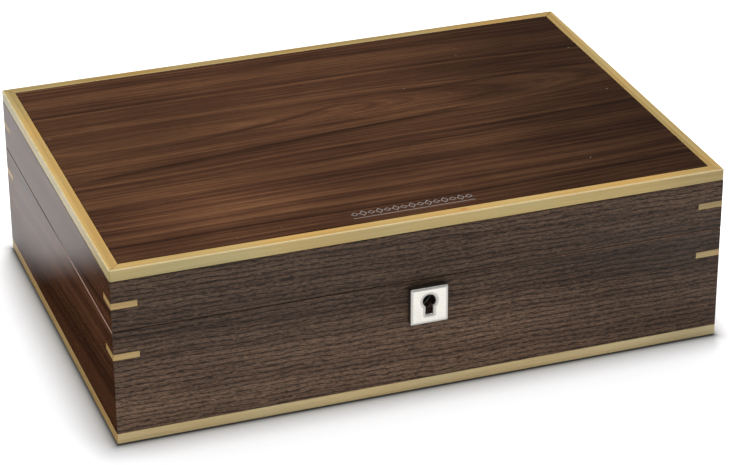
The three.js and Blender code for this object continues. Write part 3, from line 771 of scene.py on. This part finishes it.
def add_metal_parts(look):
    for node, (body, metal_name, round_mm) in METAL_NODES.items():
        shape = bmesh.new()
        shape.from_mesh(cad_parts[node].data)
        bmesh.ops.remove_doubles(shape, verts=shape.verts, dist=WELD_WITHIN)
        mesh = bpy.data.meshes.new(f"{node}_finished")
        shape.to_mesh(mesh)
        shape.free()
        mesh.materials.append(look[metal_name])
        piece = placed(f"{node}_finished", mesh)
        add_bevel(piece, round_mm, 2, 35)
        applied(piece)
        sharpened(piece.data)
        ridden(piece, body, METAL_SLOTS[metal_name], node)


# ---- hinge screws ----
SCREW_HEAD_R = 2.1 * MM
SCREW_PROUD = 0.1 * MM
SCREW_SINK = 1.4 * MM  # depth of the countersunk cone
SCREW_SIDES = 32
SCREW_FROM_END = 7 * MM
SCREW_FROM_BARREL = 4.6 * MM
SLOT_HALF_LONG = 3 * MM
SLOT_HALF_WIDE = 0.3 * MM
SLOT_SPAN = (-0.5 * MM, 1.4 * MM)


def slot_cutter(look):
    """A bar whose lower part cuts the slot of a screw."""
    corners = [
        (x * SLOT_HALF_LONG, y * SLOT_HALF_WIDE, z) for z in SLOT_SPAN for y in (-1, 1) for x in (-1, 1)
    ]
    sides = [[0, 2, 3, 1], [4, 5, 7, 6], [0, 1, 5, 4], [2, 6, 7, 3], [0, 4, 6, 2], [1, 3, 7, 5]]
    return piece_from("slot_cutter", corners, sides, look["steel"], smooth=False)


def screw_head(name, centre, up, turn, look):
    """A countersunk head, a little proud of its leaf, with a slot. up is 1 or -1 along Z."""
    rings = [(SCREW_HEAD_R * 0.55, -SCREW_SINK), (SCREW_HEAD_R, -0.1 * MM), (SCREW_HEAD_R, 0.0),
             (SCREW_HEAD_R * 0.93, SCREW_PROUD * 0.7), (SCREW_HEAD_R * 0.6, SCREW_PROUD)]
    angles = [2 * math.pi * i / SCREW_SIDES for i in range(SCREW_SIDES)]
    verts = [(r * math.cos(angle), r * math.sin(angle), z) for r, z in rings for angle in angles]
    faces = []
    add_rings(faces, len(rings), 0, SCREW_SIDES)
    faces.append(list(range(SCREW_SIDES))[::-1])
    top_first = (len(rings) - 1) * SCREW_SIDES
    faces.append([top_first + i for i in range(SCREW_SIDES)])
    head = piece_from(name, verts, faces, look["steel"])
    cutter = slot_cutter(look)
    modified(head, "BOOLEAN", object=cutter, operation="DIFFERENCE")
    applied(head)
    bpy.data.objects.remove(cutter)
    sharpened(head.data, 25)
    flip = Matrix.Identity(4) if up > 0 else Matrix.Rotation(math.pi, 4, "X")
    head.data.transform(Matrix.Translation(centre) @ Matrix.Rotation(turn, 4, "Z") @ flip)
    return head


def add_hinge_screws(look):
    turns = random.Random(5)
    for hand in HANDS:
        for body, up in (("base", 1), ("lid", -1)):
            low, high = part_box(f"hinge_{hand}_{body}_leaf")
            wall_low, wall_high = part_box(f"{body}_back_wall")
            face = wall_high.z if up > 0 else wall_low.z
            y = low.y + SCREW_FROM_BARREL
            for number, x in enumerate((low.x + SCREW_FROM_END, high.x - SCREW_FROM_END)):
                name = f"hinge_screw_{hand}_{body}_{number + 1}"
                head = screw_head(name, Vector((x, y, face)), up, turns.uniform(0, math.pi), look)
                ridden(head, body, "lock_steel")


# ---- pillows ----
PILLOW_SHRINK = 1.2 * MM  # room for the stuffing
PILLOW_CORNER_R = 15 * MM
PILLOW_VOXEL = 2.6 * MM
PILLOW_CAP = 2.2 * MM  # the most that the stuffing may push a point
PILLOW_PRESSURE = 4.0
STUFFING_FRAMES = 20
SEAM_IN = 3.2 * MM  # from each end to its seam
SEAM_DEEP = 0.9 * MM
SEAM_WIDE = 0.9 * MM
SEAM_RING_STEP = 0.7 * MM
RING_SNAP = 0.12 * MM
CREASES = 7
CREASE_FADE = 16 * MM
STITCH_PITCH = 3.0 * MM
STITCH_SHARE = 0.62  # of the pitch that is thread
STITCH_THICK = 0.28 * MM
STITCH_IN = 2.6 * MM  # from a seam to its row of stitches


def stuffed(piece):
    """Blows a closed piece up like a stuffed one, by cloth simulation, and bakes the result."""
    before = coordinates(piece.data)
    cloth = piece.modifiers.new("cloth", "CLOTH")
    cloth.settings.use_pressure = True
    cloth.settings.uniform_pressure_force = PILLOW_PRESSURE
    cloth.settings.effector_weights.gravity = 0
    cloth.settings.tension_stiffness = 25
    cloth.settings.bending_stiffness = 0.6
    cloth.point_cache.frame_start = 1
    cloth.point_cache.frame_end = STUFFING_FRAMES
    for number in range(1, STUFFING_FRAMES + 1):
        bpy.context.scene.frame_set(number)
    applied(piece)
    bpy.context.scene.frame_set(1)
    moved = coordinates(piece.data) - before
    length = np.linalg.norm(moved, axis=1, keepdims=True)
    moved *= np.minimum(1.0, PILLOW_CAP / np.maximum(length, 1e-9))
    set_coordinates(piece.data, before + moved)


def ringed(piece, places):
    """Cuts the faces where they cross planes along X, so that a narrow groove has points to follow."""
    form = bmesh.new()
    form.from_mesh(piece.data)
    for x in places:
        every = form.verts[:] + form.edges[:] + form.faces[:]
        bmesh.ops.bisect_plane(form, geom=every, dist=RING_SNAP, plane_co=(x, 0, 0), plane_no=(1, 0, 0))
    form.to_mesh(piece.data)
    form.free()


def outward_from_roll(points):
    """Unit vectors from the X axis to each point."""
    radial = points * np.array([0, 1, 1])
    return radial / np.maximum(np.linalg.norm(radial, axis=1, keepdims=True), 1e-9)


def pillow_form(look):
    """One pillow about the origin: its roll lies along X, with a sewn panel closing each end."""
    low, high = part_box("pillow_front_1")
    half = (high - low) / 2
    ends = [(-half.x + 0.6 * MM, 0.80), (-half.x + 2.0 * MM, 0.93), (-half.x + 5 * MM, 1.0), (0.0, 1.0)]
    stations = ends + [(-x, size) for x, size in reversed(ends[:-1])]
    verts = []
    for x, size in stations:
        half_y, half_z = (half.y - PILLOW_SHRINK) * size, (half.z - PILLOW_SHRINK) * size
        verts += [(x, y, z) for y, z in rounded_rectangle(half_y, half_z, PILLOW_CORNER_R * size, 9)]
    count = len(verts) // len(stations)
    faces = []
    add_rings(faces, len(stations), 0, count)
    faces.append(list(range(count)))
    last = count * (len(stations) - 1)
    faces.append([last + i for i in range(count)][::-1])
    form = piece_from("pillow_form", verts, faces, look["pillow"])
    modified(form, "REMESH", mode="VOXEL", voxel_size=PILLOW_VOXEL)
    applied(form)
    stuffed(form)
    modified(form, "SMOOTH", factor=0.5, iterations=4)
    modified(form, "SUBSURF", levels=1, render_levels=1)
    applied(form)
    seam = half.x - SEAM_IN
    ringed(form, [side * (seam + step * SEAM_RING_STEP) for side in (-1, 1) for step in range(-2, 3)])
    points = coordinates(form.data)
    groove = SEAM_DEEP * np.exp(-(((np.abs(points[:, 0]) - seam) / SEAM_WIDE) ** 2))
    on_roll = np.abs(points[:, 1]) / half.y + np.abs(points[:, 2]) / half.z > 0.75
    points = points - outward_from_roll(points) * (groove * on_roll)[:, None]
    points[:, 2] = np.maximum(points[:, 2], -half.z)
    set_coordinates(form.data, points)
    return form, half, seam


def wrinkled(points, half, seed):
    """Slight creases that run round the roll, different on every pillow."""
    draw = random.Random(seed)
    shift = np.zeros(len(points))
    for _ in range(CREASES):
        at = draw.uniform(-0.7, 0.7) * half.x
        lean = draw.uniform(-0.25, 0.25)
        wide = draw.uniform(1.6, 3.4) * MM
        centre = draw.uniform(-0.8, 0.8) * half.y
        line = points[:, 0] - at - lean * points[:, 1]
        fade = np.exp(-(((points[:, 1] - centre) / CREASE_FADE) ** 2))
        shift -= draw.uniform(0.1, 0.28) * MM * np.exp(-((line / wide) ** 2)) * fade
    return points + outward_from_roll(points) * shift[:, None]


STITCH_SIDES = 6
# Rings of one stitch: place along it, size and lift, both as shares of its thickness.
STITCH_RINGS = ((0.0, 0.35, -0.4), (0.25, 1.0, 0.25), (0.75, 1.0, 0.25), (1.0, 0.35, -0.4))


def stitch(verts, faces, start, end, out, thick):
    """One raised stitch between two points on a surface, as a six-sided spindle."""
    along = (end - start).normalized()
    side = along.cross(out).normalized()
    first = len(verts)
    for share, size, lift in STITCH_RINGS:
        centre = start.lerp(end, share) + out * thick * lift
        for i in range(STITCH_SIDES):
            angle = i * 2 * math.pi / STITCH_SIDES
            verts.append(centre + (side * math.cos(angle) + out * math.sin(angle)) * thick * size)
    for ring in range(len(STITCH_RINGS) - 1):
        a = first + ring * STITCH_SIDES
        b = a + STITCH_SIDES
        for i in range(STITCH_SIDES):
            j = (i + 1) % STITCH_SIDES
            faces.append([a + i, b + i, b + j, a + j])
    last = first + (len(STITCH_RINGS) - 1) * STITCH_SIDES
    faces.append([first + i for i in range(STITCH_SIDES)])
    faces.append([last + i for i in range(STITCH_SIDES)][::-1])


def straight_in(tree, point):
    """Where the line from a point to the roll's axis meets the surface, and the normal there."""
    place, out, _, _ = tree.ray_cast(point, Vector((0, -point.y, -point.z)).normalized())
    return place, out


def pillow_stitches(tree, half, seam):
    """Two rows of stitches, just inside the seams, laid on the pillow's surface."""
    verts = []
    faces = []
    profile = rounded_rectangle(half.y + 5 * MM, half.z + 5 * MM, 18 * MM, 9)
    for side in (-1, 1):
        x = side * (seam - STITCH_IN)
        loop = []
        for i, (y, z) in enumerate(profile):
            start = Vector((x, y, z))
            end = Vector((x, *profile[(i + 1) % len(profile)]))
            steps = max(1, round((end - start).length / STITCH_PITCH))
            loop += [start.lerp(end, step / steps) for step in range(steps)]
        for i, point in enumerate(loop):
            following = loop[(i + 1) % len(loop)]
            start, out = straight_in(tree, point)
            end, _ = straight_in(tree, point.lerp(following, STITCH_SHARE))
            if (end - start).length > 0.4 * MM:
                stitch(verts, faces, start, end, out, STITCH_THICK)
    return verts, faces


def add_pillows(look):
    form, half, seam = pillow_form(look)
    rest = coordinates(form.data)
    for row_number, row in enumerate(ROWS):
        for column in range(1, COLUMNS + 1):
            node = f"pillow_{row}_{column}"
            low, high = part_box(node)
            middle = (low + high) / 2
            mesh = form.data.copy()
            mesh.name = f"{node}_stuffed"
            points = wrinkled(rest, half, seed=column + 10 * row_number)
            polygons = [tuple(face.vertices) for face in mesh.polygons]
            tree = BVHTree.FromPolygons([Vector(p) for p in points], polygons)
            set_coordinates(mesh, points + np.array(middle))
            piece = placed(f"{node}_stuffed", mesh)
            ridden(piece, node, "pillow_suede", node)
            verts, faces = pillow_stitches(tree, half, seam)
            thread = piece_from(f"{node}_stitches", [v + middle for v in verts], faces, look["thread"])
            ridden(thread, node, "pillow_suede")
    bpy.data.objects.remove(form)


# ---- lid pad ----
PAD_COLUMNS = 120
PAD_ROWS = 80
PAD_EDGE = 1.2 * MM
PAD_ROLL = 2.2 * MM
PAD_ROLL_WIDE = 3.0 * MM
PAD_SEAM_IN = 12 * MM
PAD_SEAM_DEEP = 1.1 * MM
PAD_SEAM_WIDE = 1.5 * MM
PAD_CROWN = 0.9 * MM
PAD_CROWN_WIDE = 9 * MM
PAD_STITCH_PITCH = 3.4 * MM
PAD_STITCH_THICK = 0.3 * MM


def pad_thickness(edge):
    """The lid pad's thickness at a distance from its edge."""
    rolled = PAD_ROLL * (1 - math.exp(-edge / PAD_ROLL_WIDE))
    channel = PAD_SEAM_DEEP * math.exp(-(((edge - PAD_SEAM_IN) / PAD_SEAM_WIDE) ** 2))
    crown = PAD_CROWN * (1 - math.exp(-max(edge - PAD_SEAM_IN, 0) / PAD_CROWN_WIDE))
    return PAD_EDGE + rolled - channel + crown


def add_lid_pad(look):
    """A thin padded panel: flat at its back, softly crowned below, with a stitched line near its edge."""
    low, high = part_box("lid_pad")
    half_x, half_y = (high.x - low.x) / 2, (high.y - low.y) / 2
    verts = []
    faces = []
    for under in (True, False):
        for row in range(PAD_ROWS + 1):
            y = -math.cos(math.pi * row / PAD_ROWS) * half_y
            for column in range(PAD_COLUMNS + 1):
                x = -math.cos(math.pi * column / PAD_COLUMNS) * half_x
                edge = min(half_x - abs(x), half_y - abs(y))
                verts.append((x, y, high.z - pad_thickness(edge) if under else high.z))
    wide = PAD_COLUMNS + 1
    layer = wide * (PAD_ROWS + 1)
    for row in range(PAD_ROWS):
        for column in range(PAD_COLUMNS):
            a = row * wide + column
            faces.append([a, a + wide, a + wide + 1, a + 1])
            faces.append([layer + a, layer + a + 1, layer + a + wide + 1, layer + a + wide])
    border = list(range(wide))
    border += [row * wide + PAD_COLUMNS for row in range(1, PAD_ROWS + 1)]
    border += [PAD_ROWS * wide + column for column in range(PAD_COLUMNS - 1, -1, -1)]
    border += [row * wide for row in range(PAD_ROWS - 1, 0, -1)]
    for i, a in enumerate(border):
        b = border[(i + 1) % len(border)]
        faces.append([a, b, layer + b, layer + a])
    piece = piece_from("lid_pad_padded", verts, faces, look["lining"])
    ridden(piece, "lid", "lining_suede", "lid_pad")
    add_lid_stitches(look, piece, half_x - PAD_SEAM_IN, half_y - PAD_SEAM_IN, low.z - 20 * MM)


def add_lid_stitches(look, pad, half_x, half_y, z):
    """Stitches in the pad's channel, found by looking up from a height z below it."""
    polygons = [tuple(face.vertices) for face in pad.data.polygons]
    tree = BVHTree.FromPolygons([v.co for v in pad.data.vertices], polygons)
    up = Vector((0, 0, 1))
    verts = []
    faces = []
    corners = [Vector((x * half_x, y * half_y, z)) for x, y in ((-1, -1), (1, -1), (1, 1), (-1, 1))]
    for i, start in enumerate(corners):
        end = corners[(i + 1) % 4]
        count = round((end - start).length / PAD_STITCH_PITCH)
        for number in range(count):
            first = tree.ray_cast(start.lerp(end, (number + 0.15) / count), up)[0]
            last = tree.ray_cast(start.lerp(end, (number + 0.8) / count), up)[0]
            stitch(verts, faces, first, last, -up, PAD_STITCH_THICK)
    thread = piece_from("lid_pad_stitches", verts, faces, look["thread"])
    ridden(thread, "lid", "lining_suede")


# ---- foil ornament: a row of open lozenges over a fine rule, near the lid's front edge ----
ORNAMENT_LEFT = -35 * MM
ORNAMENT_RIGHT = 31 * MM
LOZENGE_Y = -97.8 * MM
LOZENGE_PITCH = 4.4 * MM
LOZENGE_TALL = 5.6 * MM
LOZENGE_STROKE = 0.24  # as a share of the lozenge
LOZENGE_WIDE = 0.92  # as a share of the pitch
LOZENGE_SMALL = 0.7  # height of every other lozenge, as a share of the rest
RULE_Y = -102.2 * MM
RULE_TALL = 0.4 * MM
FOIL_PROUD = 0.04 * MM


def add_foil_patch(verts, faces, outline, top):
    """A flat-topped patch of foil with an outline of four points."""
    first = len(verts)
    for z in (top - FOIL_PROUD, top + FOIL_PROUD):
        verts += [(x, y, z) for x, y in outline]
    faces.append([first + 4 + i for i in range(4)])
    faces.append([first + 3 - i for i in range(4)])
    faces += [[first + i, first + (i + 1) % 4, first + 4 + (i + 1) % 4, first + 4 + i] for i in range(4)]


def add_ornament(look):
    top = BOX_TOP
    count = round((ORNAMENT_RIGHT - ORNAMENT_LEFT) / LOZENGE_PITCH)
    pitch = (ORNAMENT_RIGHT - ORNAMENT_LEFT) / count
    verts = []
    faces = []
    for number in range(count):
        centre = Vector((ORNAMENT_LEFT + (number + 0.5) * pitch, LOZENGE_Y))
        tall = LOZENGE_TALL / 2 * (1.0 if number % 2 else LOZENGE_SMALL)
        wide = LOZENGE_WIDE / 2 * pitch
        tips = [Vector((-wide, 0)), Vector((0, -tall)), Vector((wide, 0)), Vector((0, tall))]
        for i, tip in enumerate(tips):
            following = tips[(i + 1) % 4]
            inner = 1 - LOZENGE_STROKE
            outline = [centre + tip, centre + following, centre + following * inner, centre + tip * inner]
            add_foil_patch(verts, faces, outline, top)
    low, high = RULE_Y - RULE_TALL / 2, RULE_Y + RULE_TALL / 2
    rule = [(ORNAMENT_LEFT, low), (ORNAMENT_RIGHT, low), (ORNAMENT_RIGHT, high), (ORNAMENT_LEFT, high)]
    add_foil_patch(verts, faces, rule, top)
    piece = piece_from("foil_lozenges", verts, faces, look["foil"], smooth=False)
    ridden(piece, "lid", "satin_nickel")


# ---- stage ----
FLOOR_HALF = 6.0
FLOOR_Z = -0.1 * MM
FLOOR_COLOUR = (0.93, 0.93, 0.935)
# Painted shadow on the paper: a dark contact line at the box's foot, and a weaker glow close to the box.
CONTACT_SHADOW_WIDE = 2.6 * MM
CONTACT_SHADOW_DARK = 0.86
GLOW_NEAR = 0.1
GLOW_FAR = 0.42
GLOW_REACH = 22 * MM
FLAG_Z = 0.4 * MM
FLAG_WIDE = 0.5
FLAG_SPAN_Y = (-0.8, 1.2)


def rectangle(name, low_x, high_x, low_y, high_y, z, material):
    corners = [(low_x, low_y, z), (high_x, low_y, z), (high_x, high_y, z), (low_x, high_y, z)]
    return piece_from(name, corners, [[0, 1, 2, 3]], material, smooth=False)


def add_floor():
    """White paper that glows a little, with painted shade: weaker glow near the box and a contact shadow
    round its foot.
    """
    recipe = Recipe("paper", Roughness=0.9, Specular_IOR_Level=0.1)
    x, y, _ = recipe.split(recipe.place())
    foot_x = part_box("base_right_band")[1].x
    foot_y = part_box("base_back_band")[1].y
    dx = recipe.math("MAXIMUM", recipe.math("SUBTRACT", recipe.math("ABSOLUTE", x), foot_x), 0.0)
    dy = recipe.math("MAXIMUM", recipe.math("SUBTRACT", recipe.math("ABSOLUTE", y), foot_y), 0.0)
    away = recipe.math("SQRT", recipe.squares(dx, dy))
    contact_shadow = recipe.math("EXPONENT", recipe.math("MULTIPLY", away, -1 / CONTACT_SHADOW_WIDE))
    lit = recipe.math("MULTIPLY_ADD", contact_shadow, -CONTACT_SHADOW_DARK, 1.0)
    glow = recipe.math("MULTIPLY", recipe.spread(away, 0.0, GLOW_REACH, GLOW_NEAR, GLOW_FAR), lit)
    paper = recipe.blended(1.0, FLOOR_COLOUR, lit, "MULTIPLY")
    recipe.fill(recipe.shader, Base_Color=paper, Emission_Color=(1, 1, 1, 1), Emission_Strength=glow)
    floor = rectangle("floor", -FLOOR_HALF, FLOOR_HALF, -FLOOR_HALF, FLOOR_HALF, FLOOR_Z, recipe.material)


def add_flag():
    """A card lying left of the box, seen only in reflections: dark towards the front, faint behind."""
    recipe = Recipe("flag", Roughness=1.0, Specular_IOR_Level=0.0)
    _, y, _ = recipe.split(recipe.place())
    alpha = recipe.spread(y, 0.11, 0.06, 0.24, 1.0)
    recipe.fill(recipe.shader, Base_Color=(0.02, 0.012, 0.008, 1), Alpha=alpha)
    right = WALL_LEFT - 0.5 * MM
    left = WALL_LEFT - FLAG_WIDE
    flag = rectangle("flag", left, right, *FLAG_SPAN_Y, FLAG_Z, recipe.material)
    flag.visible_camera = False
    flag.visible_diffuse = False
    flag.visible_shadow = False
    flag.visible_transmission = False


def add_light(name, place, target, size, power):
    data = bpy.data.lights.new(name, "AREA")
    data.shape = "RECTANGLE"
    data.size, data.size_y = size
    data.energy = power
    light = placed(name, data)
    light.location = place
    light.rotation_euler = (Vector(place) - Vector(target)).to_track_quat("Z", "Y").to_euler()
    return light


def add_lights():
    key = add_light("key", (0.35, 1.2, 1.5), (0, 0, 0), (0.9, 0.9), 20)
    key.visible_glossy = False
    add_light("overhead", (0.0, -0.1, 2.3), (0, 0, 0), (3.2, 2.6), 52)
    world = bpy.data.worlds.new("world")
    bpy.context.scene.world = world
    world.use_nodes = True
    background = world.node_tree.nodes["Background"]
    background.inputs["Color"].default_value = (0.9, 0.93, 1.0, 1)
    background.inputs["Strength"].default_value = 0.12
    bpy.context.scene.view_settings.view_transform = "Standard"


add_camera()
look = make_materials()
dress_nodes(look)
add_escutcheon(look)
add_metal_parts(look)
add_hinge_screws(look)
add_ornament(look)
add_pillows(look)
add_lid_pad(look)
add_floor()
add_flag()
add_lights()
